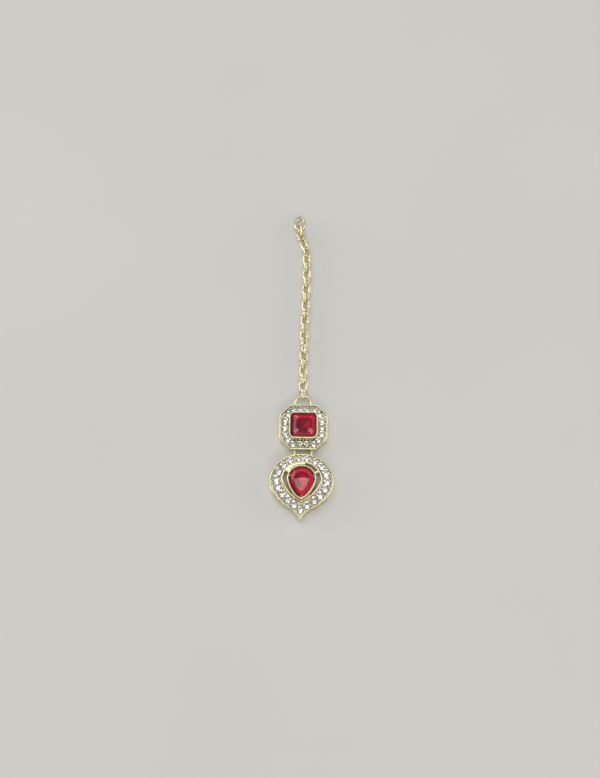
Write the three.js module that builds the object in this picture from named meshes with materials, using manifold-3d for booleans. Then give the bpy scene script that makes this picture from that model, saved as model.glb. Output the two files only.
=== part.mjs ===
// A forehead jewel: an oval cable chain with an oval end ring, a paved octagon round a
// square stone, and a paved pear with an ogee tip round a pear stone.
// Millimetres, +Z up. The jewel lies on its back on z = 0, its length along Y, the ring at +Y.
import * as THREE from 'three';
import { mergeVertices } from 'three/addons/utils/BufferGeometryUtils.js';
import { ConvexGeometry } from 'three/addons/geometries/ConvexGeometry.js';
import Module from 'manifold-3d';

const wasm = await Module();
wasm.setup();

// ---------------------------------------------------------------- sizes shared by both frames
const RIM_TOP = 3.2;        // top of the outer rims
const BED_TOP = 2.45;       // floor that the small stones are set on
const BED_UNDER = 1.95;     // underside of that floor, the open back is below it
const BASE_DRAFT = 0.35;    // the outer walls lean in by this much at the base
const WALL = 0.9;           // thickness of the outer walls
const GAP = 0.05;           // play between a stone or paved band and its setting
const LOOP_WIRE = 0.8;      // wire of the two half-ring loops
const LOOP_RADIUS = 3.02;   // centre line of the half rings
const LOOP_Z = 1.42;        // height of the half rings' centre line

// ---------------------------------------------------------------- octagon
const OCT = {
  x: 1.28, y: -15.18, turn: -1.0,      // place and turn in the lying jewel
  half: 8.85, cut: 4.05,               // half width across the flats, corner cut
  rim: 0.65,                           // width of the outer rim
  bezelOut: 5.32, bezelIn: 4.84,       // half widths of the square bezel
  bezelRound: 2.2,                     // corner radius of the bezel's outside
  bezelTop: 5.5, pocket: 2.45,         // top of the bezel, floor of the stone's pocket
  slotIn: 1.72, slotOut: 4.15,         // the two slots in the lower wall, from the middle line
  slotLow: 0.75,                       // bottom of the slots
  loopX: -0.28, loopRise: 0.82,        // middle of the top loop, its straight legs above the wall
};

// the square stone from its table down: half width, corner radius, height
const SQUARE_STONE = [
  { half: 2.70, round: 1.00, z: 6.25 },  // table
  { half: 3.75, round: 1.35, z: 6.00 },  // crown step
  { half: 4.70, round: 1.66, z: 5.52 },  // upper girdle
  { half: 4.78, round: 1.68, z: 5.28 },  // lower girdle
  { half: 3.30, round: 1.10, z: 3.85 },  // pavilion step
  { half: 0.60, round: 0.25, z: 2.55 },  // keel
];

// ---------------------------------------------------------------- pear
const PEAR = {
  x: 1.09, y: -25.68, turn: -2.7,      // place of the top of its outline, and turn
  halfWidth: 11.72, shoulder: 10.7,     // the upper half of the outline is a half ellipse
  rim: 0.65,                           // width of the outer rim
  innerRim: 0.7,                       // width of the inner rim
  bezelWall: 0.48,                     // thickness of the pear bezel
  bezelTop: 5.1, pocket: 1.7, cupUnder: 1.1, // top of the bezel, floor of the pocket, underside of the cup
  webAngle: 33, webWide: 1.3,          // the two bars that carry the bezel, degrees above the level
  webLow: 1.4, webTop: 2.75,
  fillFrom: 82, fillTop: 2.9,          // the upper left of the opening is closed, from this angle to the left bar
  footV: 15.7,                         // below this drop the bezel and the inner rim are joined
  legs: 2.0,                           // straight legs of the half ring above the pear's wall
};

// lower half of the pear's outline: drop from the top, half width
const OGEE = [
  { drop: 12.9, half: 11.45 },
  { drop: 15.0, half: 10.70 },
  { drop: 16.6, half: 9.75 },
  { drop: 18.1, half: 8.40 },
  { drop: 19.6, half: 6.75 },
  { drop: 20.7, half: 5.05 },
  { drop: 21.7, half: 3.50 },
  { drop: 22.8, half: 2.25 },
  { drop: 24.0, half: 1.25 },
  { drop: 25.0, half: 0.60 },
  { drop: 25.4, half: 0.00 },
];

// two drops, each a half ellipse above its widest line and a pointed curve below it
const INNER_RIM = { v: 9.9, half: 7.25, up: 6.65, down: 8.4, power: 1.46 };  // centre line of the inner rim
const DROP_STONE = { v: 10.2, half: 5.34, up: 5.25, down: 8.05, power: 1.52 };  // outside of the stone's bezel

// the pear stone from its table down: size against the girdle, height
const PEAR_STONE = [
  { size: 0.58, z: 5.80 },  // table
  { size: 0.80, z: 5.60 },  // crown
  { size: 0.985, z: 5.15 }, // upper girdle
  { size: 1.00, z: 4.95 },  // lower girdle
  { size: 0.60, z: 3.20 },  // pavilion
  { size: 0.08, z: 1.85 },  // keel
];

// ---------------------------------------------------------------- chain and ring
const LINK = { length: 5.18, width: 3.33, wire: 0.95, low: 1.5 };
const RING = {
  width: 4.25, length: 6.95, thick: 1.0, tall: 1.05, // outside of the oval, its wire across and upright
  lean: 7.5, roll: 6,                               // degrees, to the right and about its length
  nearZ: 1.57, farZ: 0.6,                           // height of the wire at the chain and at the far end
  reach: 0.22, aside: -0.36,                           // where it crosses link 1, from that link's middle
};

// the way the chain lies, from the octagon's loop to the end ring
const ROUTE = [
  { x: 1.15, y: -1.55 },
  { x: 1.30, y: 7.6 },
  { x: 1.50, y: 16.4 },
  { x: 1.70, y: 25.0 },
  { x: 2.22, y: 34.4 },
  { x: 2.50, y: 43.9 },
  { x: 2.65, y: 52.6 },
  { x: 2.50, y: 56.6 },
  { x: 1.50, y: 60.1 },
  { x: 0.25, y: 63.4 },
  { x: -0.10, y: 66.2 },
];

// the links from the octagon's loop to the ring: distance from the one before,
// roll about the chain in degrees (positive lifts the left side)
const LINKS = [
  { step: 0.00, roll: 76 },
  { step: 3.08, roll: -10 },
  { step: 3.08, roll: 62 },
  { step: 3.08, roll: -22 },
  { step: 3.05, roll: 63 },
  { step: 2.89, roll: 0 },
  { step: 2.92, roll: -64 },
  { step: 2.76, roll: 54 },
  { step: 2.87, roll: -22 },
  { step: 3.02, roll: 58 },
  { step: 3.10, roll: -22 },
  { step: 3.10, roll: 60 },
  { step: 3.18, roll: -23 },
  { step: 3.20, roll: 59 },
  { step: 3.20, roll: -21 },
  { step: 3.20, roll: 60 },
  { step: 3.16, roll: -22 },
  { step: 3.17, roll: 60 },
  { step: 3.20, roll: -30 },
  { step: 3.06, roll: 52 },
  { step: 3.12, roll: -39 },
  { step: 3.14, roll: 36 },
  { step: 2.86, roll: -56 },
];

// ---------------------------------------------------------------- helpers
const rad = THREE.MathUtils.degToRad;

function solid(geometry) {
  const bare = geometry.clone();
  bare.deleteAttribute('normal');
  if (bare.getAttribute('uv')) bare.deleteAttribute('uv');
  const joined = mergeVertices(bare, 1e-4);
  return new wasm.Manifold(new wasm.Mesh({
    numProp: 3,
    vertProperties: new Float32Array(joined.attributes.position.array),
    triVerts: new Uint32Array(joined.index.array),
  }));
}

function geometryOf(body) {
  const mesh = body.getMesh();
  const geometry = new THREE.BufferGeometry();
  geometry.setAttribute('position', new THREE.BufferAttribute(new Float32Array(mesh.vertProperties), 3));
  geometry.setIndex(new THREE.BufferAttribute(new Uint32Array(mesh.triVerts), 1));
  geometry.computeVertexNormals();
  return geometry;
}

function prismGeometry(outline, z0, z1) {
  const geometry = new THREE.ExtrudeGeometry(new THREE.Shape(outline), { depth: z1 - z0, bevelEnabled: false });
  return geometry.translate(0, 0, z0);
}
const prism = (outline, z0, z1) => solid(prismGeometry(outline, z0, z1));

// a prism whose foot is drawn in towards (0, cy), as a casting's draft
function draftedPrism(outline, z0, z1, cy, shrink) {
  const geometry = prismGeometry(outline, z0, z1);
  const p = geometry.attributes.position;
  for (let i = 0; i < p.count; i++) {
    if (p.getZ(i) > z0 + 1e-6) continue;
    p.setX(i, p.getX(i) * shrink);
    p.setY(i, cy + (p.getY(i) - cy) * shrink);
  }
  return solid(geometry);
}

function box(x0, x1, y0, y1, z0, z1) {
  const geometry = new THREE.BoxGeometry(x1 - x0, y1 - y0, z1 - z0);
  return solid(geometry.translate((x0 + x1) / 2, (y0 + y1) / 2, (z0 + z1) / 2));
}

// ring-shaped band between two outlines
const band = (outer, inner, z0, z1) => prism(outer, z0, z1).subtract(prism(inner, z0 - 1, z1 + 1));

// a square with cut corners, moved in by inset
function cutSquare(half, cut, inset = 0) {
  const h = half - inset;
  const c = cut - inset * (2 - Math.SQRT2);
  const corners = [[h - c, h], [-h + c, h], [-h, h - c], [-h, -h + c], [-h + c, -h], [h - c, -h], [h, -h + c], [h, h - c]];
  return corners.map(([x, y]) => new THREE.Vector2(x, y));
}

// a square with round corners, moved in by inset
function roundSquare(half, round, inset = 0, steps = 5) {
  const h = half - inset;
  const r = round - inset;
  const points = [];
  for (let corner = 0; corner < 4; corner++) {
    const middle = new THREE.Vector2(h - r, h - r).rotateAround(new THREE.Vector2(), (corner * Math.PI) / 2);
    for (let i = 0; i <= steps; i++) {
      const a = (corner + i / steps) * (Math.PI / 2);
      points.push(new THREE.Vector2(middle.x + r * Math.cos(a), middle.y + r * Math.sin(a)));
    }
  }
  return points;
}

// half ring with straight legs about x = middle, its legs' feet on y = foot
function halfRing(middle, foot, legs, buried) {
  const points = [];
  const start = foot - buried;
  const turn = foot + legs;
  for (const y of [start, (start + turn) / 2]) points.push(new THREE.Vector3(middle - LOOP_RADIUS, y, LOOP_Z));
  for (let i = 0; i <= 12; i++) {
    const a = Math.PI - (Math.PI * i) / 12;
    points.push(new THREE.Vector3(middle + LOOP_RADIUS * Math.cos(a), turn + LOOP_RADIUS * Math.sin(a), LOOP_Z));
  }
  for (const y of [(start + turn) / 2, start]) points.push(new THREE.Vector3(middle + LOOP_RADIUS, y, LOOP_Z));
  const path = new THREE.CatmullRomCurve3(points, false, 'centripetal');
  const section = new THREE.Shape();
  section.absarc(0, 0, LOOP_WIRE / 2, 0, Math.PI * 2, false);
  return solid(new THREE.ExtrudeGeometry(section, { steps: 30, curveSegments: 5, extrudePath: path, bevelEnabled: false }));
}

// right half of the pear's outline, from its top (0, 0) down to its tip
function ogeeHalf() {
  const half = [];
  for (let i = 0; i <= 40; i++) {
    const t = (Math.PI / 2) * (i / 40);
    half.push(new THREE.Vector2(PEAR.halfWidth * Math.sin(t), -PEAR.shoulder * (1 - Math.cos(t))));
  }
  const lower = [half[36], half[40], ...OGEE.map((r) => new THREE.Vector2(r.half, -r.drop))];
  const spline = new THREE.SplineCurve(lower);
  for (let i = 1; i <= 120; i++) {
    const t = (1 + (i / 120) * (lower.length - 2)) / (lower.length - 1);
    half.push(spline.getPoint(t));
  }
  return half;
}
const OGEE_HALF = ogeeHalf();

// evenly spaced points along a polyline
function evenly(points, count) {
  const at = [0];
  for (let i = 1; i < points.length; i++) at.push(at[i - 1] + points[i].distanceTo(points[i - 1]));
  const out = [];
  for (let k = 0, i = 1; k <= count; k++) {
    const s = (at[at.length - 1] * k) / count;
    while (i < points.length - 1 && at[i] < s) i++;
    const f = (s - at[i - 1]) / (at[i] - at[i - 1] || 1);
    out.push(new THREE.Vector2().lerpVectors(points[i - 1], points[i], Math.min(1, Math.max(0, f))));
  }
  return out;
}

function mirrored(half) {
  return [...half, ...half.slice(1, -1).reverse().map((p) => new THREE.Vector2(-p.x, p.y))];
}

// the pear's outline moved in by inset
function pearOutline(inset, count = 34) {
  const moved = [];
  for (let i = 0; i < OGEE_HALF.length; i++) {
    const a = OGEE_HALF[Math.max(0, i - 1)];
    const b = OGEE_HALF[Math.min(OGEE_HALF.length - 1, i + 1)];
    const t = i === 0 ? new THREE.Vector2(1, 0) : b.clone().sub(a).normalize();
    const p = OGEE_HALF[i].clone().add(new THREE.Vector2(t.y, -t.x).multiplyScalar(inset));
    if (i > 0 && p.x <= 0) {
      const q = moved[moved.length - 1];
      moved.push(new THREE.Vector2(0, q.y + ((p.y - q.y) * q.x) / (q.x - p.x)));
      break;
    }
    moved.push(p);
  }
  moved[0].x = 0;
  moved[moved.length - 1].x = 0;
  return mirrored(evenly(moved, count));
}

// one of the two drops, moved out by grow
function dropOutline(drop, grow, count = 26) {
  const half = [];
  for (let i = 0; i <= 80; i++) {
    const a = (Math.PI * i) / 80;
    const c = Math.cos(a);
    const power = c > 0 ? 2 : drop.power;
    const reach = c > 0 ? drop.up + grow : drop.down + grow * 1.25;
    const x = (drop.half + grow) * Math.pow(Math.sin(a), 2 / power);
    half.push(new THREE.Vector2(x, Math.sign(c) * Math.pow(Math.abs(c), 2 / power) * reach - drop.v));
  }
  half[0].x = 0;
  half[80].x = 0;
  return mirrored(evenly(half, count));
}

// ---------------------------------------------------------------- octagon frame, band and stone
function octagonFrame() {
  const shrink = 1 - BASE_DRAFT / OCT.half;
  let body = draftedPrism(cutSquare(OCT.half, OCT.cut), 0, RIM_TOP, 0, shrink);
  body = body.subtract(prism(cutSquare(OCT.half, OCT.cut, BASE_DRAFT + WALL), -1, BED_UNDER));
  body = body.subtract(prism(cutSquare(OCT.half, OCT.cut, OCT.rim), BED_TOP, RIM_TOP + 1));
  for (const side of [-1, 1]) {
    const x0 = Math.min(side * OCT.slotIn, side * OCT.slotOut);
    const x1 = Math.max(side * OCT.slotIn, side * OCT.slotOut);
    body = body.subtract(box(x0, x1, -OCT.half - 1, -OCT.half + BASE_DRAFT + WALL + 0.5, OCT.slotLow, BED_UNDER));
  }
  body = body.add(prism(roundSquare(OCT.bezelOut, OCT.bezelRound), BED_UNDER + 0.1, OCT.bezelTop));
  const inset = OCT.bezelOut - OCT.bezelIn;
  body = body.subtract(prism(roundSquare(OCT.bezelOut, OCT.bezelRound, inset), OCT.pocket, OCT.bezelTop + 1));
  return body.add(halfRing(OCT.loopX, OCT.half - 0.1, OCT.loopRise + 0.1, 0.6));
}

function octagonPave() {
  const outer = cutSquare(OCT.half, OCT.cut, OCT.rim + GAP);
  const inner = roundSquare(OCT.bezelOut, OCT.bezelRound, -GAP);
  return band(outer, inner, BED_TOP + GAP, RIM_TOP);
}

function squareStone() {
  const points = [];
  for (const row of SQUARE_STONE) for (const p of roundSquare(row.half, row.round, 0, 3)) points.push(new THREE.Vector3(p.x, p.y, row.z));
  return solid(new ConvexGeometry(points));
}

// ---------------------------------------------------------------- pear frame, band and stone
function pearFrame() {
  const middle = -PEAR.shoulder - 1.5;
  let body = draftedPrism(pearOutline(0, 44), 0, RIM_TOP, middle, 1 - BASE_DRAFT / PEAR.halfWidth);
  const back = band(pearOutline(BASE_DRAFT + WALL, 40), dropOutline(INNER_RIM, PEAR.innerRim / 2 + 0.1), -1, BED_UNDER);
  body = body.subtract(back);
  body = body.subtract(band(pearOutline(PEAR.rim, 40), dropOutline(INNER_RIM, PEAR.innerRim / 2), BED_TOP, RIM_TOP + 1));
  body = body.subtract(prism(dropOutline(INNER_RIM, -PEAR.innerRim / 2), -1, RIM_TOP + 1));
  for (const side of [-1, 1]) {
    const bar = box(0, INNER_RIM.half + 0.05, -PEAR.webWide / 2, PEAR.webWide / 2, PEAR.webLow, PEAR.webTop);
    const angle = side > 0 ? PEAR.webAngle : 180 - PEAR.webAngle;
    body = body.add(bar.rotate([0, 0, angle]).translate([0, -DROP_STONE.v, 0]));
  }
  const wedge = [new THREE.Vector2(0, -DROP_STONE.v)];
  for (let i = 0; i <= 4; i++) {
    const a = rad(PEAR.fillFrom + ((180 - PEAR.webAngle - PEAR.fillFrom) * i) / 4);
    wedge.push(new THREE.Vector2(12 * Math.cos(a), -DROP_STONE.v + 12 * Math.sin(a)));
  }
  body = body.add(prism(dropOutline(INNER_RIM, 0), PEAR.webLow, PEAR.fillTop).intersect(prism(wedge, 0, RIM_TOP)));
  const foot = prism(dropOutline(INNER_RIM, 0), PEAR.webLow, PEAR.webTop);
  body = body.add(foot.intersect(box(-9, 9, -25, -PEAR.footV, 0, RIM_TOP)));
  body = body.add(prism(dropOutline(DROP_STONE, 0), PEAR.cupUnder, PEAR.bezelTop));
  body = body.subtract(prism(dropOutline(DROP_STONE, -PEAR.bezelWall), PEAR.pocket, PEAR.bezelTop + 1));
  return body.add(halfRing(0, -0.4, PEAR.legs + 0.4, 0.45));
}

function pearPave() {
  return band(pearOutline(PEAR.rim + GAP, 40), dropOutline(INNER_RIM, PEAR.innerRim / 2 + GAP), BED_TOP + GAP, RIM_TOP);
}

function pearStone() {
  const girdle = dropOutline(DROP_STONE, -PEAR.bezelWall - GAP, 14);
  const points = [];
  for (const row of PEAR_STONE) {
    for (const p of girdle) points.push(new THREE.Vector3(p.x * row.size, -DROP_STONE.v + (p.y + DROP_STONE.v) * row.size, row.z));
  }
  return solid(new ConvexGeometry(points));
}

// ---------------------------------------------------------------- chain links and end ring
// a torus pulled out along Y: half-round ends, straight sides
function linkGeometry() {
  const bend = (LINK.width - LINK.wire) / 2;
  const geometry = new THREE.TorusGeometry(bend, LINK.wire / 2, 8, 14);
  geometry.rotateZ(Math.PI / 14);
  const pull = (LINK.length - LINK.width) / 2;
  const p = geometry.attributes.position;
  for (let i = 0; i < p.count; i++) p.setY(i, p.getY(i) + Math.sign(p.getY(i)) * pull);
  return geometry;
}

const route = new THREE.CatmullRomCurve3(ROUTE.map((r) => new THREE.Vector3(r.x, r.y, 0)), false, 'centripetal');
route.arcLengthDivisions = 2000;

// centre and turn of a link, link 1 at the ring, the last one at the octagon's loop
function linkPlace(number) {
  const from = LINKS.length - number;
  const along = LINKS.slice(0, from + 1).reduce((sum, row) => sum + row.step, 0);
  const s = Math.min(1, along / route.getLength());
  const roll = rad(LINKS[from].roll);
  const rest = ((LINK.width - LINK.wire) / 2) * Math.abs(Math.sin(roll)) + LINK.wire / 2;
  const at = route.getPointAt(s).setZ(Math.max(rest, LINK.low));
  const heading = route.getTangentAt(s);
  const turn = new THREE.Euler(0, roll, Math.atan2(-heading.x, heading.y), 'ZYX');
  return { at, heading, turn };
}

// an oval of round wire a little taller than it is thick
function ringGeometry() {
  const a = (RING.width - RING.thick) / 2;
  const b = (RING.length - RING.thick) / 2;
  const geometry = new THREE.TorusGeometry(1, 0.25, 10, 28);
  const p = geometry.attributes.position;
  for (let i = 0; i < p.count; i++) {
    const angle = Math.atan2(p.getY(i), p.getX(i));
    const out = (Math.hypot(p.getX(i), p.getY(i)) - 1) / 0.25;
    const normal = new THREE.Vector2(Math.cos(angle) / a, Math.sin(angle) / b).normalize();
    p.setXYZ(i, a * Math.cos(angle) + (normal.x * out * RING.thick) / 2,
      b * Math.sin(angle) + (normal.y * out * RING.thick) / 2, (p.getZ(i) / 0.25) * (RING.tall / 2));
  }
  return geometry;
}

// the ring's near end hangs in link 1, its far end lies on the surface
function ringPlace() {
  const first = linkPlace(1);
  const b = (RING.length - RING.thick) / 2;
  const foot = first.at.clone().addScaledVector(first.heading, RING.reach);
  foot.x += RING.aside;
  foot.z = RING.nearZ;
  const lean = rad(RING.lean);
  const at = new THREE.Vector3(foot.x + b * Math.sin(lean), foot.y + b * Math.cos(lean), (RING.nearZ + RING.farZ) / 2);
  const turn = new THREE.Euler(-Math.asin((RING.nearZ - RING.farZ) / (2 * b)), rad(RING.roll), -lean, 'ZXY');
  return { at, turn };
}

// ---------------------------------------------------------------- the jewel
const gold = () => new THREE.MeshStandardMaterial({ color: 0xd9c590, roughness: 0.26, metalness: 1 });
const crystal = () => new THREE.MeshStandardMaterial({ color: 0xe9e6da, roughness: 0.08, metalness: 0.1 });
const red = () => new THREE.MeshStandardMaterial({ color: 0x8f0a20, roughness: 0.06, metalness: 0 });

function piece(name, geometry, material, at = null, turn = null) {
  const mesh = new THREE.Mesh(geometry, material);
  mesh.name = name;
  if (at) mesh.position.copy(at);
  if (turn) mesh.rotation.copy(turn);
  return mesh;
}

function setting(sizes, ...meshes) {
  const group = new THREE.Group();
  group.position.set(sizes.x, sizes.y, 0);
  group.rotation.z = rad(sizes.turn);
  return group.add(...meshes);
}

const lying = new THREE.Group();
const ring = ringPlace();
lying.add(piece('end_ring', geometryOf(solid(ringGeometry())), gold(), ring.at, ring.turn));
for (let number = 1; number <= LINKS.length; number++) {
  const { at, turn } = linkPlace(number);
  lying.add(piece(`chain_link_${String(number).padStart(2, '0')}`, geometryOf(solid(linkGeometry())), gold(), at, turn));
}
lying.add(setting(OCT,
  piece('octagon_frame', geometryOf(octagonFrame()), gold()),
  piece('octagon_pave', geometryOf(octagonPave()), crystal()),
  piece('octagon_stone', geometryOf(squareStone()), red())));
lying.add(setting(PEAR,
  piece('pear_frame', geometryOf(pearFrame()), gold()),
  piece('pear_pave', geometryOf(pearPave()), crystal()),
  piece('pear_stone', geometryOf(pearStone()), red())));

// the origin is under the middle of the whole jewel
lying.updateMatrixWorld(true);
const whole = new THREE.Box3().setFromObject(lying, true);
lying.position.set(-(whole.min.x + whole.max.x) / 2, -(whole.min.y + whole.max.y) / 2, -whole.min.z);

const jewel = new THREE.Group();
jewel.name = 'forehead_jewel';
jewel.add(lying);
export default jewel;
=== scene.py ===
import math
import random

import bmesh
import bpy
import numpy as np
from mathutils import Matrix, Vector


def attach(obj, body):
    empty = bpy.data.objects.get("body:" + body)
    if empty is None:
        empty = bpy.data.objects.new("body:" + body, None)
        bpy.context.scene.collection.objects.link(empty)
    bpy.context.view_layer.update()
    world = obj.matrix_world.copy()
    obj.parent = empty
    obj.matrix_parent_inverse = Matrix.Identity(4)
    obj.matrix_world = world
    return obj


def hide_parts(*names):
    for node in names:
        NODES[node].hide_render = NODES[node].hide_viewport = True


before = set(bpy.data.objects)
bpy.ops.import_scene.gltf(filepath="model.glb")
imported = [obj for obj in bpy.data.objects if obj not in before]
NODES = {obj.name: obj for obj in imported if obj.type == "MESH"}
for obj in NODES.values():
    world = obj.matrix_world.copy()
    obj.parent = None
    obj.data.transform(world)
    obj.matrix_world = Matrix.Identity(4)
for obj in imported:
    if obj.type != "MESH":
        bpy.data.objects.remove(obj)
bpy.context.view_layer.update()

MM = 0.001
SHIFT = (-0.58835, -10.48756)         # from the layout's origin to the frame's, mm
rng = random.Random(7)

# ------------------------------------------------------------------ sizes, mm
RIM_TOP, BED, BED_UNDER = 3.2, 2.52, 1.95
OCT = dict(x=1.28, y=-15.18, turn=-1.0, half=8.85, cut=4.05, bezel=5.32, bezel_round=2.2, bezel_top=5.5)
PEAR = dict(x=1.09, y=-25.68, turn=-2.7, half_width=11.72, shoulder=10.7, bezel_top=5.1)
INNER_RIM = dict(v=9.9, half=7.25, up=6.65, down=8.4, power=1.46)
DROP = dict(v=10.2, half=5.34, up=5.25, down=8.05, power=1.52)
OGEE = (  # drop from the top, half width
    (12.9, 11.45), (15.0, 10.70), (16.6, 9.75), (18.1, 8.40), (19.6, 6.75), (20.7, 5.05),
    (21.7, 3.50), (22.8, 2.25), (24.0, 1.25), (25.0, 0.60), (25.4, 0.00),
)
LOOP_R, LOOP_WIRE, LOOP_Z = 3.02, 0.8, 1.42
LINK = dict(length=5.18, width=3.33, wire=0.95)
RING = dict(length=6.95, width=4.25, thick=1.0, tall=1.05)

# ------------------------------------------------------------------ camera
ELEVATION, DISTANCE, PIXEL, AIM = math.radians(68), 800.0, 0.37, -0.28
FRAME_W, FRAME_H = 600, 778
cam_data = bpy.data.cameras.new("camera")
cam = bpy.data.objects.new("camera", cam_data)
bpy.context.scene.collection.objects.link(cam)
cam.location = (SHIFT[0] * MM, (SHIFT[1] + AIM - DISTANCE * math.cos(ELEVATION)) * MM, (RIM_TOP + DISTANCE * math.sin(ELEVATION)) * MM)
cam.rotation_euler = (math.radians(90) - ELEVATION, 0, 0)
cam_data.sensor_width = 36.0
cam_data.lens = DISTANCE / PIXEL * 36.0 / max(FRAME_W, FRAME_H)
cam_data.clip_start, cam_data.clip_end = 0.01, 20
bpy.context.scene.camera = cam


# ------------------------------------------------------------------ outlines, all in a setting's own mm
def cut_square(half, cut, inset=0.0, fillet=0.22, steps=4):
    """A square with cut corners moved in by inset, its eight edges a little rounded."""
    h, c = half - inset, cut - inset * (2 - math.sqrt(2))
    corners = [(h - c, h), (-h + c, h), (-h, h - c), (-h, -h + c), (-h + c, -h), (h - c, -h), (h, -h + c), (h, h - c)]
    corners = [np.array(p) for p in corners]
    r = max(fillet - inset, 0.06)
    out = []
    for i, p in enumerate(corners):
        a, b = corners[i - 1] - p, corners[(i + 1) % 8] - p
        a, b = a / np.linalg.norm(a), b / np.linalg.norm(b)
        middle = a + b
        middle /= np.linalg.norm(middle)
        t = r * math.tan(math.radians(22.5))
        centre = p + middle * math.hypot(r, t)
        p0, p1 = p + a * t - centre, p + b * t - centre
        a0, a1 = math.atan2(p0[1], p0[0]), math.atan2(p1[1], p1[0])
        a1 = a0 + (a1 - a0 + math.pi) % (2 * math.pi) - math.pi
        for k in range(steps + 1):
            w = a0 + (a1 - a0) * k / steps
            out.append(centre + r * np.array((math.cos(w), math.sin(w))))
    return np.array(out)


def round_square(half, round_, inset=0.0, steps=10):
    h, r = half - inset, max(round_ - inset, 0.05)
    out = []
    for corner in range(4):
        m = np.array((h - r, h - r))
        for _ in range(corner):
            m = np.array((-m[1], m[0]))
        for k in range(steps + 1):
            w = (corner + k / steps) * math.pi / 2
            out.append(m + r * np.array((math.cos(w), math.sin(w))))
    return np.array(out)


def evenly(points, count):
    points = np.asarray(points, float)
    at = np.concatenate(([0], np.cumsum(np.linalg.norm(np.diff(points, axis=0), axis=1))))
    want = np.linspace(0, at[-1], count + 1)
    return np.stack([np.interp(want, at, points[:, i]) for i in range(points.shape[1])], 1)


def mirrored(half):
    left = half[1:-1][::-1].copy()
    left[:, 0] *= -1
    return np.concatenate((half, left))


def ogee_half():
    """Right half of the pear's outline, from its top (0, 0) down to its tip."""
    t = np.linspace(0, math.pi / 2, 121)
    top = np.stack((PEAR["half_width"] * np.sin(t), -PEAR["shoulder"] * (1 - np.cos(t))), 1)
    knots = [top[108], top[120]] + [np.array((h, -d)) for d, h in OGEE]
    low = []
    for i in range(1, len(knots) - 1):
        p0, p1, p2 = knots[i - 1], knots[i], knots[i + 1]
        p3 = knots[min(i + 2, len(knots) - 1)]
        v0, v1 = (p2 - p0) / 2, (p3 - p1) / 2
        for s in np.linspace(0, 1, 25)[1:]:
            low.append((2 * p1 - 2 * p2 + v0 + v1) * s ** 3 + (-3 * p1 + 3 * p2 - 2 * v0 - v1) * s ** 2 + v0 * s + p1)
    return np.concatenate((top, np.array(low)))


OGEE_HALF = ogee_half()


def pear_half(inset, count=110):
    p = OGEE_HALF
    t = np.gradient(p, axis=0)
    t[0] = (1, 0)
    t /= np.linalg.norm(t, axis=1, keepdims=True)
    q = p + np.stack((t[:, 1], -t[:, 0]), 1) * inset
    if inset > 0:
        out = [q[0]]
        for a in q[1:]:
            if a[0] <= 0:
                b = out[-1]
                out.append(np.array((0.0, b[1] + (a[1] - b[1]) * b[0] / (b[0] - a[0]))))
                break
            out.append(a)
        q = np.array(out)
    q[0, 0] = q[-1, 0] = 0
    return evenly(q, count)


def pear_outline(inset, count=110):
    return mirrored(pear_half(inset, count))


def drop_half(drop, grow=0.0, count=80):
    a = np.linspace(0, math.pi, 401)
    c, s = np.cos(a), np.abs(np.sin(a))
    power = np.where(c > 0, 2.0, drop["power"])
    reach = np.where(c > 0, drop["up"] + grow, drop["down"] + grow * 1.25)
    x = (drop["half"] + grow) * s ** (2 / power)
    y = np.sign(c) * np.abs(c) ** (2 / power) * reach - drop["v"]
    x[0] = x[-1] = 0
    return evenly(np.stack((x, y), 1), count)


def drop_outline(drop, grow=0.0, count=80):
    return mirrored(drop_half(drop, grow, count))


# ------------------------------------------------------------------ mesh helpers
def at_z(outline, z):
    return np.column_stack((outline, np.full(len(outline), z)))


def loft(rings, closed):
    """Quads between rings of equal length; closed joins the last ring to the first."""
    n, m = len(rings[0]), len(rings)
    verts = np.concatenate(rings)
    faces = []
    for i in range(m if closed else m - 1):
        a, b = i * n, ((i + 1) % m) * n
        faces += [(a + k, a + (k + 1) % n, b + (k + 1) % n, b + k) for k in range(n)]
    return verts, faces


def capped(rings):
    verts, faces = loft(rings, False)
    n, last = len(rings[0]), len(verts) - len(rings[0])
    return verts, faces + [tuple(range(n))[::-1], tuple(range(last, last + n))]


def slab(outline, z0, z1, bevel=0.06):
    """A plate with softened edges, scaled a little in at its faces."""
    c = outline.mean(0)
    small = c + (outline - c) * (1 - bevel / np.abs(outline - c).max())
    return capped([at_z(small, z0), at_z(outline, z0 + bevel), at_z(outline, z1 - bevel), at_z(small, z1)])


def ring_of(outline, profile):
    """A closed band: outline(inset) for each (inset, z) of a closed profile."""
    return loft([at_z(outline(d), z) for d, z in profile], True)


def tube(path, radius, sides=16, closed=False, up=(0, 0, 1), shape=None, thin=None):
    """A wire along a path that lies in one plane with normal up. thin(i) scales it at a point of the path."""
    path = np.asarray(path, float)
    n = len(path)
    up = np.asarray(up, float)
    rings = []
    for i in range(n):
        a = path[(i - 1) % n] if closed or i else path[0]
        b = path[(i + 1) % n] if closed or i < n - 1 else path[-1]
        t = (b - a) / np.linalg.norm(b - a)
        side = np.cross(t, up)
        f = thin(i) if thin else 1.0
        ring = []
        for k in range(sides):
            w = 2 * math.pi * k / sides
            rx, rz = (radius, radius) if shape is None else shape
            ring.append(path[i] + f * (side * rx * math.cos(w) + up * rz * math.sin(w)))
        rings.append(np.array(ring))
    return loft(rings, True) if closed else capped(rings)


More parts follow.
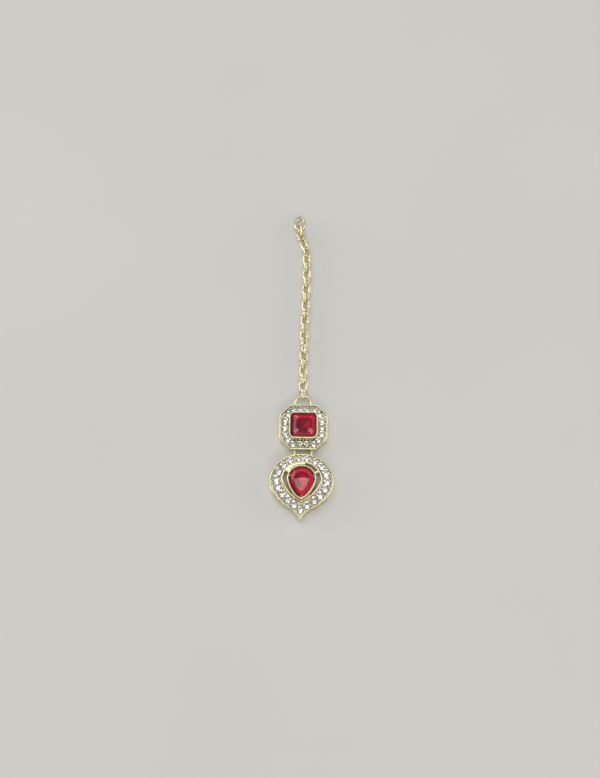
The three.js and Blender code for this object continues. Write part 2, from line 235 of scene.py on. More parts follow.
def grain(x, y, radius, neck=2.78, top=3.12, sides=12, rows=4):
    """A round-headed post that stands in the bed."""
    w = np.linspace(0, 2 * math.pi, sides, endpoint=False)
    ring = np.stack((np.cos(w), np.sin(w)), 1)
    rings = [at_z(ring * radius * 1.08 + (x, y), BED - 0.12)]
    for i in range(rows):
        a = (math.pi / 2) * i / rows
        rings.append(at_z(ring * radius * math.cos(a) + (x, y), neck + (top - neck) * math.sin(a)))
    verts, faces = loft(rings, False)
    last, tip = rows * sides, len(verts)
    verts = np.concatenate((verts, [(x, y, top)]))
    return verts, faces + [(last + k, last + (k + 1) % sides, tip) for k in range(sides)] + [tuple(range(sides))[::-1]]


def place(verts, at):
    """From a setting's own mm to the frame's metres."""
    c, s = math.cos(math.radians(at["turn"])), math.sin(math.radians(at["turn"]))
    v = np.asarray(verts, float)
    x = v[:, 0] * c - v[:, 1] * s + at["x"] + SHIFT[0]
    y = v[:, 0] * s + v[:, 1] * c + at["y"] + SHIFT[1]
    return np.stack((x, y, v[:, 2]), 1) * MM


def raw_object(name, parts):
    """One object from several (verts, faces[, material index per face])."""
    verts, faces, slots, base = [], [], [], 0
    for part in parts:
        v, f = part[0], part[1]
        verts.append(np.asarray(v, float))
        faces += [tuple(base + i for i in face) for face in f]
        slots += list(part[2]) if len(part) > 2 else [0] * len(f)
        base += len(v)
    mesh = bpy.data.meshes.new(name)
    mesh.from_pydata(np.concatenate(verts).tolist(), [], faces)
    mesh.polygons.foreach_set("material_index", slots)
    ob = bpy.data.objects.new(name, mesh)
    bpy.context.scene.collection.objects.link(ob)
    bm = bmesh.new()
    bm.from_mesh(mesh)
    bmesh.ops.remove_doubles(bm, verts=bm.verts, dist=1e-8)
    bmesh.ops.recalc_face_normals(bm, faces=bm.faces)
    bm.to_mesh(mesh)
    bm.free()
    return ob


def subtract(ob, cutter):
    mod = ob.modifiers.new("cut", "BOOLEAN")
    mod.operation, mod.object, mod.solver, mod.use_self = "DIFFERENCE", cutter, "EXACT", True
    bpy.context.view_layer.update()
    made = bpy.data.meshes.new_from_object(ob.evaluated_get(bpy.context.evaluated_depsgraph_get()))
    old = ob.data
    ob.modifiers.remove(mod)
    ob.data = made
    made.name = old.name
    bpy.data.meshes.remove(old)
    cut_mesh = cutter.data
    bpy.data.objects.remove(cutter)
    bpy.data.meshes.remove(cut_mesh)
    return ob


def join(name, objects):
    """Joins whole objects into the first one's place as one mesh."""
    parts = []
    for o in objects:
        v = np.zeros(len(o.data.vertices) * 3)
        o.data.vertices.foreach_get("co", v)
        parts.append((v.reshape(-1, 3), [tuple(p.vertices) for p in o.data.polygons]))
        mesh = o.data
        bpy.data.objects.remove(o)
        bpy.data.meshes.remove(mesh)
    verts, faces, base = [], [], 0
    for v, f in parts:
        verts.append(v)
        faces += [tuple(base + i for i in face) for face in f]
        base += len(v)
    mesh = bpy.data.meshes.new(name)
    mesh.from_pydata(np.concatenate(verts).tolist(), [], faces)
    ob = bpy.data.objects.new(name, mesh)
    bpy.context.scene.collection.objects.link(ob)
    return ob


def finish_metal(ob, material, angle=38):
    ob.data.materials.clear()
    ob.data.materials.append(material)
    ob.data.polygons.foreach_set("use_smooth", [True] * len(ob.data.polygons))
    ob.data.set_sharp_from_angle(angle=math.radians(angle))
    mod = ob.modifiers.new("normals", "WEIGHTED_NORMAL")
    mod.keep_sharp = True
    mod.weight = 60
    return ob


# ------------------------------------------------------------------ materials
def nodes_of(name):
    m = bpy.data.materials.new(name)
    m.use_nodes = True
    return m, m.node_tree.nodes, m.node_tree.links, m.node_tree.nodes["Principled BSDF"]


def noise(nodes, links, coords, scale, detail=3.0, rough=0.55):
    n = nodes.new("ShaderNodeTexNoise")
    n.inputs["Scale"].default_value = scale
    n.inputs["Detail"].default_value = detail
    n.inputs["Roughness"].default_value = rough
    links.new(coords.outputs["Object"], n.inputs["Vector"])
    return n


def ramp(nodes, links, source, stops):
    r = nodes.new("ShaderNodeValToRGB")
    while len(r.color_ramp.elements) < len(stops):
        r.color_ramp.elements.new(0.5)
    for e, (pos, col) in zip(r.color_ramp.elements, stops):
        e.position = pos
        e.color = (*col, 1) if len(col) == 3 else col
    links.new(source, r.inputs["Fac"])
    return r


def span(nodes, links, source, low, high, out_low, out_high):
    r = nodes.new("ShaderNodeMapRange")
    r.inputs["From Min"].default_value, r.inputs["From Max"].default_value = low, high
    r.inputs["To Min"].default_value, r.inputs["To Max"].default_value = out_low, out_high
    links.new(source, r.inputs["Value"])
    return r


def gold_material(name, rough=(0.13, 0.24), tint=((0.80, 0.72, 0.42), (0.87, 0.815, 0.555), (0.91, 0.87, 0.67))):
    """Pale gold plating: cloudy colour, worn lighter here and there, hairline scratches."""
    m, nodes, links, p = nodes_of(name)
    coords = nodes.new("ShaderNodeTexCoord")
    cloud = noise(nodes, links, coords, 420.0, 4.0)
    colour = ramp(nodes, links, cloud.outputs["Fac"], ((0.30, tint[0]), (0.52, tint[1]), (0.75, tint[2])))
    links.new(colour.outputs["Color"], p.inputs["Base Color"])
    p.inputs["Metallic"].default_value = 1.0
    grain = noise(nodes, links, coords, 1500.0, 3.0)
    r = span(nodes, links, grain.outputs["Fac"], 0.3, 0.7, *rough)
    links.new(r.outputs["Result"], p.inputs["Roughness"])
    stretch = nodes.new("ShaderNodeMapping")
    stretch.inputs["Scale"].default_value = (1.0, 9.0, 4.0)
    stretch.inputs["Rotation"].default_value = (0.3, 0.2, 0.6)
    links.new(coords.outputs["Object"], stretch.inputs["Vector"])
    scratch = nodes.new("ShaderNodeTexNoise")
    scratch.inputs["Scale"].default_value = 900.0
    scratch.inputs["Detail"].default_value = 2.0
    links.new(stretch.outputs["Vector"], scratch.inputs["Vector"])
    bump = nodes.new("ShaderNodeBump")
    bump.inputs["Strength"].default_value = 0.05
    bump.inputs["Distance"].default_value = 0.00004
    links.new(scratch.outputs["Fac"], bump.inputs["Height"])
    links.new(bump.outputs["Normal"], p.inputs["Normal"])
    return m


def glass_material(name, dark, light, ior):
    """Cut glass: tint drifts a little through the stone, the polish even."""
    m, nodes, links, p = nodes_of(name)
    coords = nodes.new("ShaderNodeTexCoord")
    cloud = noise(nodes, links, coords, 260.0, 2.0)
    colour = ramp(nodes, links, cloud.outputs["Fac"], ((0.35, dark), (0.65, light)))
    links.new(colour.outputs["Color"], p.inputs["Base Color"])
    p.inputs["Transmission Weight"].default_value = 1.0
    p.inputs["IOR"].default_value = ior
    p.inputs["Roughness"].default_value = 0.015
    return m


def foil_material(name, dark, light, rough):
    """Mirror foil behind a stone, a little crazed."""
    m, nodes, links, p = nodes_of(name)
    coords = nodes.new("ShaderNodeTexCoord")
    cloud = noise(nodes, links, coords, 700.0, 3.0)
    colour = ramp(nodes, links, cloud.outputs["Fac"], ((0.3, dark), (0.7, light)))
    links.new(colour.outputs["Color"], p.inputs["Base Color"])
    p.inputs["Metallic"].default_value = 1.0
    r = span(nodes, links, cloud.outputs["Fac"], 0.3, 0.7, *rough)
    links.new(r.outputs["Result"], p.inputs["Roughness"])
    return m


GOLD = gold_material("pale_gold")
# the bed's darker tint is painted shade: it stands for the shade in the recess between the stones
GOLD_BED_PAINTED_SHADE = gold_material("pale_gold_bed_painted_shade", rough=(0.26, 0.42), tint=((0.48, 0.44, 0.32), (0.60, 0.56, 0.42), (0.73, 0.69, 0.56)))
CRYSTAL = glass_material("crystal", (0.97, 0.97, 0.95), (1.0, 1.0, 1.0), 1.56)
SILVER_FOIL = foil_material("silver_foil", (0.93, 0.92, 0.86), (0.99, 0.985, 0.95), (0.06, 0.16))
RED_GLASS = glass_material("red_glass", (0.68, 0.020, 0.100), (0.77, 0.032, 0.130), 1.65)
RED_FOIL = foil_material("red_foil", (0.50, 0.17, 0.19), (0.58, 0.22, 0.24), (0.14, 0.24))

# rougher as-cast plating for the inner walls; its tint, paler than the polished gold's, is painted light that makes
# these walls look lit
GOLD_CAST_AND_PAINTED_LIGHT = gold_material("pale_gold_cast_and_painted_light", rough=(0.40, 0.55), tint=((0.84, 0.76, 0.50), (0.88, 0.815, 0.58), (0.91, 0.855, 0.66)))

made = []


def cast_and_painted_light_walls(ob, at, inside):
    """Gives the steep faces whose middles lie inside an outline the duller, as-cast plating; its paler tint is painted
    light, so these inner walls look lit.
    """
    c, s = math.cos(math.radians(at["turn"])), math.sin(math.radians(at["turn"]))
    n = len(ob.data.polygons)
    mid, normal = np.zeros(n * 3), np.zeros(n * 3)
    ob.data.polygons.foreach_get("center", mid)
    ob.data.polygons.foreach_get("normal", normal)
    mid, normal = mid.reshape(-1, 3) / MM, normal.reshape(-1, 3)
    x, y = mid[:, 0] - at["x"] - SHIFT[0], mid[:, 1] - at["y"] - SHIFT[1]
    x, y = x * c + y * s, -x * s + y * c
    edge = np.concatenate((inside, inside[:1]))
    within = np.zeros(n, int)
    for (x0, y0), (x1, y1) in zip(edge[:-1], edge[1:]):
        if y0 != y1:
            within += ((y0 > y) != (y1 > y)) & (x < x0 + (y - y0) / (y1 - y0) * (x1 - x0))
    ob.data.materials.append(GOLD_CAST_AND_PAINTED_LIGHT)
    chosen = (within % 2 == 1) & (np.abs(normal[:, 2]) < 0.6)
    ob.data.polygons.foreach_set("material_index", chosen.astype(int).tolist())


def keep(ob, slot, *nodes):
    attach(ob, "root")
    if nodes:
        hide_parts(*nodes)
    made.append(ob)
    return ob


# ------------------------------------------------------------------ chain links and end ring
def axes_of(node):
    """Centre (mm) and unit axes (width, length, normal) of a link or ring from its CAD node."""
    co = np.array([v.co for v in NODES[node].data.vertices], float) / MM
    co = np.unique(np.round(co, 4), axis=0)
    low, high = co.min(0), co.max(0)
    centre = (low + high) / 2
    _, vec = np.linalg.eigh(np.cov((co - centre).T))
    y, x = vec[:, 2], vec[:, 1]
    y = y if y[1] > 0 else -y
    x = x if x[0] > 0 else -x
    return centre, x, y, np.cross(x, y)


def stadium(bend, pull, count):
    """Evenly spaced points round a link's centre line, starting in the middle of its right side."""
    arc = np.linspace(0, math.pi, 60)
    pts = [(bend, 0.0)] + [(bend * math.cos(a), pull + bend * math.sin(a)) for a in arc]
    pts += [(-bend * math.cos(a), -pull - bend * math.sin(a)) for a in arc] + [(bend, 0.0)]
    return evenly(np.array(pts), count)[:-1]


def link_piece(number):
    node = f"chain_link_{number:02d}"
    centre, x, y, z = axes_of(node)
    path = stadium((LINK["width"] - LINK["wire"]) / 2, (LINK["length"] - LINK["width"]) / 2, 72)
    seam = rng.choice((0, 36))
    grow = 1 + rng.uniform(-0.015, 0.015)

    def thin(i):
        gap = min((i - seam) % 72, (seam - i) % 72)
        return grow * (0.80 if gap == 0 else 1.0)

    v, f = tube(at_z(path, 0.0), LINK["wire"] / 2, 14, True, thin=thin)
    v = centre + v[:, :1] * x + v[:, 1:2] * y + v[:, 2:] * z
    ob = raw_object(f"link_{number:02d}", [(v * MM, f)])
    return keep(finish_metal(ob, GOLD, 50), "gold", node)


for number in range(1, 24):
    link_piece(number)


def ring_piece():
    centre, x, y, z = axes_of("end_ring")
    a, b = (RING["width"] - RING["thick"]) / 2, (RING["length"] - RING["thick"]) / 2
    w = np.linspace(0, 2 * math.pi, 721)
    path = evenly(np.stack((a * np.cos(w), b * np.sin(w)), 1), 120)[:-1]
    cut = 120 - 14                      # the closed joint, low on the right side

    def thin(i):
        gap = min((i - cut) % 120, (cut - i) % 120)
        return 0.72 if gap == 0 else 1.0 - 0.05 * math.exp(-gap * gap / 18)

    v, f = tube(at_z(path, 0.0), 0.45, 18, True, shape=(RING["thick"] / 2, RING["tall"] / 2), thin=thin)
    v = centre + v[:, :1] * x + v[:, 1:2] * y + v[:, 2:] * z
    ob = raw_object("end_ring_wire", [(v * MM, f)])
    return keep(finish_metal(ob, GOLD, 50), "gold", "end_ring")


ring_piece()


# ------------------------------------------------------------------ shared: half ring, stones, beads
def half_ring(middle, foot, legs, buried):
    turn = foot + legs
    pts = [(middle - LOOP_R, foot - buried), (middle - LOOP_R, turn)]
    pts += [(middle + LOOP_R * math.cos(a), turn + LOOP_R * math.sin(a)) for a in np.linspace(math.pi, 0, 90)]
    pts += [(middle + LOOP_R, turn), (middle + LOOP_R, foot - buried)]
    return tube(at_z(evenly(np.array(pts), 80), LOOP_Z), LOOP_WIRE / 2, 16)


def brilliant(radius, lift, table=0.47, crown=0.34, depth=0.27, turn=0.0, tilt=(0.0, 0.0)):
    """A round cut stone about (0, 0, lift at the girdle): verts, faces, material per face (0 glass, 1 foil)."""
    def ring(n, r, z, phase):
        w = turn + (np.arange(n) + phase) * 2 * math.pi / n
        return np.stack((r * np.cos(w), r * np.sin(w), np.full(n, z)), 1) * radius

    rings = [
        ring(8, table, crown, 0.0),           # 0: table
        ring(8, 0.80, crown * 0.52, 0.5),     # 8: kite corners
        ring(16, 1.0, 0.03, 0.0),             # 16: girdle, upper
        ring(16, 1.0, -0.03, 0.0),            # 32: girdle, lower
        ring(8, 0.42, -depth * 0.60, 0.5),    # 48: pavilion
        np.array([(0, 0, -depth)]) * radius,  # 56: culet
    ]
    v = np.concatenate(rings)
    f, s = [tuple(range(8))], [0]
    for k in range(8):
        t0, t1, m = k, (k + 1) % 8, 8 + k
        mp = 8 + (k - 1) % 8
        g0, g1, g2 = 16 + 2 * k, 16 + 2 * k + 1, 16 + (2 * k + 2) % 16
        f += [(t0, t1, m), (t0, m, g0, mp), (m, g0, g1), (m, g1, g2)]
        s += [0] * 4
        p, pp = 48 + k, 48 + (k - 1) % 8
        h0, h1, h2 = g0 + 16, g1 + 16, g2 + 16
        f += [(g0, g1, h1, h0), (g1, g2, h2, h1), (p, h0, h1), (p, h1, h2), (p, pp, h0), (56, p, pp)]
        s += [0, 0, 1, 1, 1, 1]
    m = np.array(Matrix.Rotation(tilt[0], 3, "X") @ Matrix.Rotation(tilt[1], 3, "Y"))
    v = v @ m.T
    v[:, 2] += lift
    return v, f, s


def pave(name, at, spots, node):
    """Round stones at spots (x, y, radius)."""
    stones = []
    for x, y, r in spots:
        v, f, s = brilliant(r, 2.90, turn=rng.uniform(0, math.pi), tilt=(rng.uniform(-0.06, 0.06), rng.uniform(-0.06, 0.06)))
        v[:, 0] += x
        v[:, 1] += y
        stones.append((place(v, at), f, s))
    ob = raw_object(name, stones)
    ob.data.materials.append(CRYSTAL)
    ob.data.materials.append(SILVER_FOIL)
    return keep(ob, "crystal", node)


def beads(name, at, spots, side_push, size, extra=()):
    """The grains raised between the stones, one by each rim."""
    parts = []
    n = len(spots)
    for i in range(n):
        a, b = np.array(spots[i][:2]), np.array(spots[(i + 1) % n][:2])
        along = (b - a) / np.linalg.norm(b - a)
        across = np.array((-along[1], along[0]))
        for side in (-1, 1):
            c = (a + b) / 2 + across * side * side_push * (spots[i][2] + spots[(i + 1) % n][2]) / 2
            v, f = grain(c[0], c[1], size * rng.uniform(0.9, 1.1), top=3.12 + rng.uniform(-0.03, 0.05))
            parts.append((place(v, at), f))
    for x, y, radius in extra:
        v, f = grain(x, y, radius)
        parts.append((place(v, at), f))
    ob = raw_object(name, parts)
    return keep(finish_metal(ob, GOLD, 60), "gold")


def drilled(name, at, band, spots):
    """The paved band's floor with a seat for each stone."""
    body = raw_object(name, [(place(band[0], at), band[1])])
    seats = []
    for x, y, r in spots:
        w = np.linspace(0, 2 * math.pi, 28, endpoint=False)
        c = np.stack((x + (r - 0.03) * np.cos(w), y + (r - 0.03) * np.sin(w)), 1)
        v, f = capped([at_z(c, 2.02), at_z(c, 3.4)])
        seats.append((place(v, at), f))
    return subtract(body, raw_object("seats", seats))


# ------------------------------------------------------------------ octagon
def oct_outline(d):
    return cut_square(OCT["half"], OCT["cut"], d)


def oct_bezel(d):
    return round_square(OCT["bezel"], OCT["bezel_round"], d)


RIM_PROFILE = [  # inset, z: foot, drawn-in wall, half-round rim, inside of the rim, inside of the open back
    (0.42, 0.00), (0.33, 0.03), (0.28, 0.10), (0.28, 0.34), (0.33, 0.42), (0.42, 0.48), (0.46, 0.62), (0.46, 1.98),
    (0.40, 2.14), (0.20, 2.26), (0.06, 2.33), (0.0, 2.44), (0.0, 2.86), (0.02, 2.97), (0.07, 3.07), (0.14, 3.14), (0.23, 3.19),
    (0.32, 3.20), (0.41, 3.19), (0.49, 3.15), (0.56, 3.08), (0.60, 2.99), (0.62, 2.88), (0.63, 2.55), (0.70, 2.40),
    (1.25, 2.30), (1.25, 0.08), (1.17, 0.0),
]
BEZEL_PROFILE = [  # inset from the outside, height below the bezel's top
    (-0.14, -9), (-0.10, -2.60), (-0.03, -2.50), (0.0, -2.35), (0.0, -0.42), (0.03, -0.24), (0.09, -0.11), (0.18, -0.03),
    (0.29, 0.0), (0.41, -0.02), (0.52, -0.07), (0.60, -0.15), (0.62, -0.24), (0.56, -0.32), (0.52, -9),
]


def bezel_profile(top, low):
    return [(d, low if z == -9 else top + z) for d, z in BEZEL_PROFILE]


def spread(curve, places):
    """Moves places (indices along a closed dense curve) until neighbours stand equally far apart."""
    n = len(curve)
    t = np.array(places, float)
    step = np.linalg.norm(np.roll(curve, -1, 0) - curve, axis=1).mean()
    for _ in range(400):
        p = curve[np.round(t).astype(int) % n]
        ahead = np.linalg.norm(np.roll(p, -1, 0) - p, axis=1)
        t += 0.25 * (ahead - np.roll(ahead, 1)) / step
    return curve[np.round(t).astype(int) % n]


def octagon_spots():
    line = cut_square(OCT["half"], OCT["cut"], 2.05, fillet=0.0, steps=1)
    dense = evenly(np.concatenate((line, line[:1])), 7200)[:-1]
    start = int(np.argmin(np.abs(dense[:, 0]) + 100 * (dense[:, 1] < 0)))
    return [(x, y, 1.30) for x, y in spread(dense, [start + 7200 * (k + 0.5) / 18 for k in range(18)])]


def octagon():
    spots = octagon_spots()
    wall = raw_object("wall", [(place(v, OCT), f) for v, f in [ring_of(oct_outline, RIM_PROFILE)]])
    slots = []
    for side in (-1, 1):
        x0, x1 = sorted((side * 1.72, side * 4.15))
        box = np.array([(x0, -10), (x1, -10), (x1, -7.2), (x0, -7.2)])
        v, f = capped([at_z(box, 0.75), at_z(box, 1.93)])
        slots.append((place(v, OCT), f))
    wall = subtract(wall, raw_object("slots", slots))
    # the floor runs from under the rim to under the bezel
    inner = round_square(OCT["bezel"], OCT["bezel_round"], 0.25, steps=9)
    outer = cut_square(OCT["half"], OCT["cut"], 0.55, steps=4)
    inner = matched(outer, inner)
    band = loft([at_z(outer, BED_UNDER), at_z(outer, BED), at_z(inner, BED), at_z(inner, BED_UNDER)], True)
    bed = drilled("octagon_seats", OCT, band, spots)
    keep(finish_metal(bed, GOLD_BED_PAINTED_SHADE, 30), "gold")
    parts = [ring_of(oct_bezel, bezel_profile(OCT["bezel_top"], 2.0)), slab(oct_bezel(0.10), BED_UNDER + 0.01, 2.44),
             half_ring(-0.28, OCT["half"] - 0.1, 0.92, 0.6)]
    rest = raw_object("rest", [(place(v, OCT), f) for v, f in parts])
    frame_ob = join("octagon_metal", [wall, rest])
    keep(finish_metal(frame_ob, GOLD), "gold", "octagon_frame")
    pave("octagon_stones", OCT, spots, "octagon_pave")
    beads("octagon_beads", OCT, spots, 0.84, 0.36)


def matched(outer, inner):
    """As many points on inner as outer has, each in the same direction from the middle."""
    c = inner.mean(0)
    loop = np.concatenate((inner, inner[:1]))
    dense = evenly(loop, 4000)[:-1] - c
    ang = np.arctan2(dense[:, 1], dense[:, 0])
    order = np.argsort(ang)
    ang, dense = ang[order], dense[order]
    want = np.arctan2(outer[:, 1] - c[1], outer[:, 0] - c[0])
    r = np.interp(want, ang, np.linalg.norm(dense, axis=1), period=2 * math.pi)
    return np.stack((c[0] + r * np.cos(want), c[1] + r * np.sin(want)), 1)


def domed_table(edge, z, sag, middle, half, rows=6):
    """A table that swells a little: rings of edge shrunk to middle, heights on a paraboloid."""
    rings = []
    for j in range(rows):
        p = middle + (edge - middle) * (1 - j / rows)
        q = (p - middle) / half
        rings.append(np.column_stack((p, z + sag * (1 - (q ** 2).sum(1)))))
    return rings + [np.array([(*middle, z + sag)])]


def table_faces(base, n, rows=6):
    faces = []
    for j in range(rows - 1):
        a, b = base + j * n, base + (j + 1) * n
        faces += [(a + k, a + (k + 1) % n, b + (k + 1) % n, b + k) for k in range(n)]
    a, top = base + (rows - 1) * n, base + rows * n
    return faces + [(a + k, a + (k + 1) % n, top) for k in range(n)]


def finish_stone(ob, glass, foil):
    ob.data.materials.append(glass)
    ob.data.materials.append(foil)
    ob.data.polygons.foreach_set("use_smooth", [True] * len(ob.data.polygons))
    ob.data.set_sharp_from_angle(angle=math.radians(5))
    return ob


SQUARE_CUT = dict(table=(2.62, 1.15), table_z=6.16, sag=0.01, mid=(3.66, 0.55), mid_z=5.86, wall=4.50, wall_z=4.30, ring=(2.9, 1.0), ring_z=4.40, culet_z=3.93)
PEAR_CUT = dict(table=(0.60, 1.25, 2.20), table_z=5.72, sag=0.09, mid=(0.82, 0.55, 0.95), mid_z=5.46, wall=(0.95, 0.22, 0.40), wall_z=3.85,
                ring=(0.58, 2.0, 3.1), ring_z=3.95, culet_z=3.43, culet_y=-10.6)


def square_stone(cut):
    """Cushion outline, two broad steps, cut corners, a shallow four-sided pavilion inside a level border."""
    def eight(half, corner):
        h, c = half, corner
        return np.array([(h, h - c), (h - c, h), (-h + c, h), (-h, h - c), (-h, -h + c), (-h + c, -h), (h - c, -h), (h, -h + c)])

    corners = eight(*cut["table"])
    edge = np.concatenate([corners[k] + (corners[(k + 1) % 8] - corners[k]) * np.linspace(0, 1, 5)[:4, None] for k in range(8)])
    reach = np.linalg.norm(corners[0])
    g = round_square(4.76, 1.72, 0.0, steps=4)
    rings = domed_table(edge, cut["table_z"], cut["sag"], np.zeros(2), np.array((reach, reach)))
    mid = sum(len(r) for r in rings)
    rings += [at_z(eight(*cut["mid"]), cut["mid_z"]), at_z(g, 5.28), at_z(g, 5.16), at_z(round_square(cut["wall"], 1.6, 0.0, steps=4), cut["wall_z"]),
              at_z(eight(*cut["ring"]), cut["ring_z"]), np.array([(0, 0, cut["culet_z"])])]
    v = np.concatenate(rings)
    gu, gl, wall, pav, culet = mid + 8, mid + 28, mid + 48, mid + 68, mid + 76
    f = table_faces(0, 32)
    s = [0] * len(f)
    for k in range(8):
        f.append(tuple(4 * k + i for i in range(4)) + ((4 * k + 4) % 32, mid + (k + 1) % 8, mid + k))
        s.append(0)
        f.append((culet, pav + k, pav + (k + 1) % 8))
        s.append(1)
    for q in range(4):
        a, b = 2 * q, 2 * q + 1            # corner points of the eight-sided rings
        n = (2 * q + 2) % 8
        h = [5 * q + i for i in range(5)]
        hn = (5 * q + 5) % 20
        for ring8, ring20, slot in ((mid, gu, 0), (pav, wall, 1)):
            f += [(ring8 + a, ring20 + h[0], ring20 + h[1]), (ring8 + a, ring20 + h[1], ring20 + h[2]),
                  (ring8 + a, ring20 + h[2], ring8 + b), (ring8 + b, ring20 + h[2], ring20 + h[3]),
                  (ring8 + b, ring20 + h[3], ring20 + h[4]), (ring8 + b, ring20 + h[4], ring20 + hn, ring8 + n)]
            s += [slot] * 6
    for k in range(20):
        n = (k + 1) % 20
        f += [(gu + k, gu + n, gl + n, gl + k), (gl + k, gl + n, wall + n, wall + k)]
        s += [0, 1]
    ob = raw_object("octagon_red_stone", [(place(v, OCT), f, s)])
    return keep(finish_stone(ob, RED_GLASS, RED_FOIL), "red_stone", "octagon_stone")


octagon()
square_stone(SQUARE_CUT)


# ------------------------------------------------------------------ pear
def inner_rim(d):
    return drop_outline(INNER_RIM, -d)


def pear_bezel(d):
    return drop_outline(DROP, -d)


INNER_PROFILE = [  # inset from the rim's centre line, z
    (-0.35, 2.30), (-0.35, 3.00), (-0.31, 3.12), (-0.22, 3.20), (-0.10, 3.24), (0.10, 3.24), (0.22, 3.20), (0.31, 3.12),
    (0.35, 3.00), (0.35, 0.10), (0.28, 0.0), (-0.28, 0.0), (-0.36, 0.08), (-0.40, 2.0),
]


def pear_spots():
    """Nineteen stones: one in the tip, the rest in pairs, smaller where the channel narrows at the top."""
    a, b = pear_half(0.62, 4000), drop_half(INNER_RIM, 0.35, 4000)
    mid, wide = (a + b) / 2, np.linalg.norm(a - b, axis=1)
    at = np.concatenate(([0], np.cumsum(np.linalg.norm(np.diff(mid, axis=0), axis=1))))
    out = []
    for k in range(9):
        i = int(np.searchsorted(at, at[-1] * (k + 0.5) / 9.5))
        out.append((mid[i, 0], mid[i, 1], min(1.60, wide[i] / 2 - 0.03)))
    return out + [(0.0, mid[-1, 1] + 0.1, 1.42)] + [(-x, y, r) for x, y, r in out[::-1]]


def web(side):
    """A bridge with a rounded back from the bezel's cup to the inner rim."""
    a = math.radians(33 if side > 0 else 147)
    d, n = np.array((math.cos(a), math.sin(a))), np.array((-math.sin(a), math.cos(a)))
    c = np.array((0.0, -DROP["v"]))
    section = [(-0.62, 1.40), (-0.65, 1.50), (-0.65, 2.20), (-0.58, 2.45), (-0.40, 2.66), (-0.15, 2.77), (0.15, 2.77), (0.40, 2.66),
               (0.58, 2.45), (0.65, 2.20), (0.65, 1.50), (0.62, 1.40)]
    rings = [np.array([(*(c + d * r + n * w), z) for w, z in section]) for r in (4.5, 7.2)]
    return capped(rings)


def bridge(first=82, last=147):
    """The closed upper left of the opening: it falls a little from the inner rim to the bezel."""
    c = np.array((0.0, -DROP["v"]))
    a = np.radians(np.linspace(first, last, 40))

    def far(outline):
        d = outline - c
        w = np.arctan2(d[:, 1], d[:, 0])
        order = np.argsort(w)
        return np.interp(a, w[order], np.linalg.norm(d, axis=1)[order], period=2 * math.pi)

    out, inn = far(drop_outline(INNER_RIM, 0.0, 200)), far(drop_outline(DROP, -0.2, 200))
    section = [(0.0, 1.47), (0.0, 2.98), (0.25, 2.97), (0.5, 2.90), (0.75, 2.80), (1.0, 2.74), (1.0, 1.47)]
    rings = []
    for k, w in enumerate(a):
        d = np.array((math.cos(w), math.sin(w)))
        rings.append(np.array([(*(c + d * (out[k] + (inn[k] - out[k]) * t)), z) for t, z in section]))
    return capped(rings)


def pear():
    spots = pear_spots()
    wall = raw_object("pear_wall", [(place(v, PEAR), f) for v, f in [ring_of(lambda d: pear_outline(d), RIM_PROFILE)]])
    outer, inner = pear_outline(0.55, 110), drop_outline(INNER_RIM, 0.1, 110)
    band = loft([at_z(outer, BED_UNDER), at_z(outer, BED), at_z(inner, BED), at_z(inner, BED_UNDER)], True)
    bed = drilled("pear_seats", PEAR, band, spots)
    keep(finish_metal(bed, GOLD_BED_PAINTED_SHADE, 30), "gold")
    low = drop_outline(INNER_RIM, 0.0, 80)
    low = low[low[:, 1] < -15.7]
    order = np.argsort(low[:, 0])
    foot = slab(low[order], 1.4, 2.78, 0.08)
    parts = [ring_of(inner_rim, INNER_PROFILE), ring_of(pear_bezel, bezel_profile(PEAR["bezel_top"], 1.3)),
             slab(pear_bezel(0.06), 1.1, 1.7, 0.15), web(1), web(-1), bridge(), foot, half_ring(0.0, -0.4, 2.4, 0.45)]
    rest = raw_object("pear_rest", [(place(v, PEAR), f) for v, f in parts])
    frame_ob = join("pear_metal", [wall, rest])
    keep(finish_metal(frame_ob, GOLD), "gold", "pear_frame")
    cast_and_painted_light_walls(frame_ob, PEAR, drop_outline(INNER_RIM, -0.1))
    pave("pear_stones", PEAR, spots, "pear_pave")
    beads("pear_beads", PEAR, spots, 0.92, 0.42, ((0.0, -23.15, 0.45),))


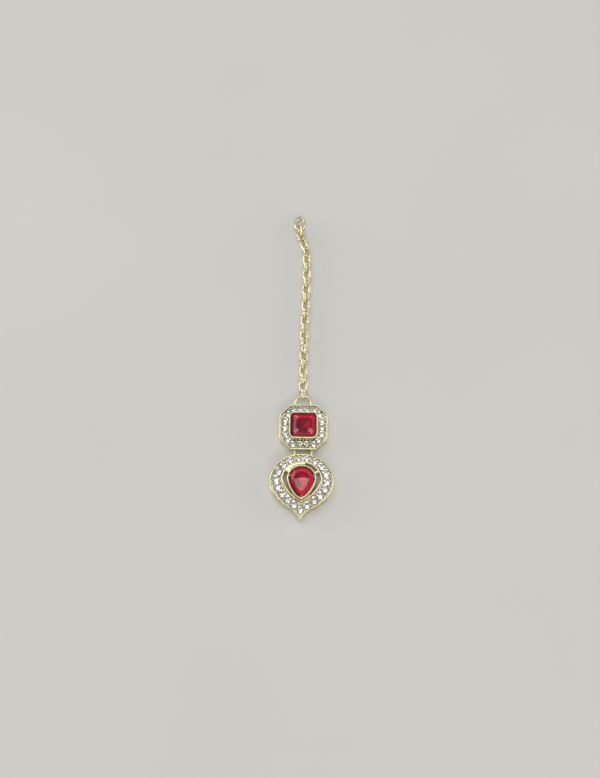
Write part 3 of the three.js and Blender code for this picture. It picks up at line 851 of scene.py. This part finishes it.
def pear_stone(cut):
    """Pear outline, two rows of step facets, a shallow pavilion inside a level border."""
    n = 16
    g = drop_outline(DROP, -0.56, n)             # 2 n points, top first, tip at n
    top, tip = g[:, 1].max(), g[:, 1].min()

    def ring(points, sx, gap_top, gap_tip):
        y = tip + gap_tip + (points[:, 1] - tip) / (top - tip) * (top - gap_top - tip - gap_tip)
        return np.column_stack((points[:, 0] * sx, y))

    even = g[0::2]
    table = ring(even, *cut["table"])
    middle, half = np.array((0.0, table[:, 1].mean())), np.array((table[:, 0].max(), np.ptp(table[:, 1]) / 2))
    rings = domed_table(table, cut["table_z"], cut["sag"], middle, half)
    m0 = sum(len(r) for r in rings)
    rings += [at_z(ring(even, *cut["mid"]), cut["mid_z"]), at_z(g, 4.90), at_z(g, 4.78), at_z(ring(g, *cut["wall"]), cut["wall_z"]),
              at_z(ring(even, *cut["ring"]), cut["ring_z"]), np.array([(0, cut["culet_y"], cut["culet_z"])])]
    v = np.concatenate(rings)
    g0, l0, w0, p0, culet = m0 + n, m0 + 3 * n, m0 + 5 * n, m0 + 7 * n, m0 + 8 * n
    f = table_faces(0, n)
    s = [0] * len(f)
    for k in range(n):
        k1 = (k + 1) % n
        a, b, c = 2 * k, 2 * k + 1, (2 * k + 2) % (2 * n)
        f += [(k, k1, m0 + k1, m0 + k), (m0 + k, g0 + a, g0 + b), (m0 + k, g0 + b, m0 + k1), (m0 + k1, g0 + b, g0 + c)]
        f += [(g0 + a, g0 + b, l0 + b, l0 + a), (g0 + b, g0 + c, l0 + c, l0 + b)]
        s += [0] * 6
        f += [(l0 + a, l0 + b, w0 + b, w0 + a), (l0 + b, l0 + c, w0 + c, w0 + b)]
        f += [(p0 + k, w0 + a, w0 + b), (p0 + k, w0 + b, p0 + k1), (p0 + k1, w0 + b, w0 + c), (culet, p0 + k, p0 + k1)]
        s += [1] * 6
    ob = raw_object("pear_red_stone", [(place(v, PEAR), f, s)])
    return keep(finish_stone(ob, RED_GLASS, RED_FOIL), "red_stone", "pear_stone")


pear()
pear_stone(PEAR_CUT)

# ------------------------------------------------------------------ floor, light
floor_mesh = bpy.data.meshes.new("floor")
floor_mesh.from_pydata([(-3, -3, -0.00005), (3, -3, -0.00005), (3, 3, -0.00005), (-3, 3, -0.00005)], [], [(0, 1, 2, 3)])
floor = bpy.data.objects.new("floor", floor_mesh)
bpy.context.scene.collection.objects.link(floor)
fm, fnodes, flinks, fp = nodes_of("floor_pale")
fc = fnodes.new("ShaderNodeTexCoord")
fcloud = noise(fnodes, flinks, fc, 9.0, 2.0)
fcol = ramp(fnodes, flinks, fcloud.outputs["Fac"], ((0.3, (0.85, 0.845, 0.83)), (0.7, (0.88, 0.875, 0.86))))
flinks.new(fcol.outputs["Color"], fp.inputs["Base Color"])
fp.inputs["Roughness"].default_value = 0.7
floor_mesh.materials.append(fm)


def softbox(name, at, aim, size, power, colour=(1, 1, 1)):
    data = bpy.data.lights.new(name, "AREA")
    data.shape, data.size, data.size_y = "RECTANGLE", size[0], size[1]
    data.energy, data.color = power, colour
    ob = bpy.data.objects.new(name, data)
    bpy.context.scene.collection.objects.link(ob)
    ob.location = at
    ob.rotation_euler = (Vector(aim) - Vector(at)).to_track_quat("-Z", "Y").to_euler()
    return ob


softbox("top", (-0.08, 0.31, 1.40), (-0.08, 0.31, 0), (0.90, 0.30), 2.2, (1.0, 0.99, 0.96))
softbox("over", (0.0, -0.38, 1.45), (0, -0.20, 0), (1.3, 0.72), 0.7, (1.0, 0.99, 0.96))
softbox("back", (-0.30, 0.72, 1.05), (0, -0.03, 0), (1.1, 0.56), 2.2, (1.0, 0.99, 0.96))
softbox("left", (-1.15, 0.30, 0.24), (0, -0.03, 0), (1.0, 0.40), 4.2, (1.0, 0.985, 0.95))
softbox("right", (1.15, 0.10, 0.24), (0, -0.03, 0), (1.0, 0.40), 3.6, (1.0, 0.985, 0.95))
softbox("front", (0.10, -1.00, 0.70), (0, -0.03, 0), (1.0, 0.40), 3.0, (1.0, 0.985, 0.95))

world = bpy.data.worlds.new("studio")
bpy.context.scene.world = world
world.use_nodes = True
world.node_tree.nodes["Background"].inputs["Color"].default_value = (0.86, 0.855, 0.83, 1)
world.node_tree.nodes["Background"].inputs["Strength"].default_value = 0.34

scene = bpy.context.scene
scene.view_settings.view_transform = "Standard"
scene.view_settings.exposure = 0.0
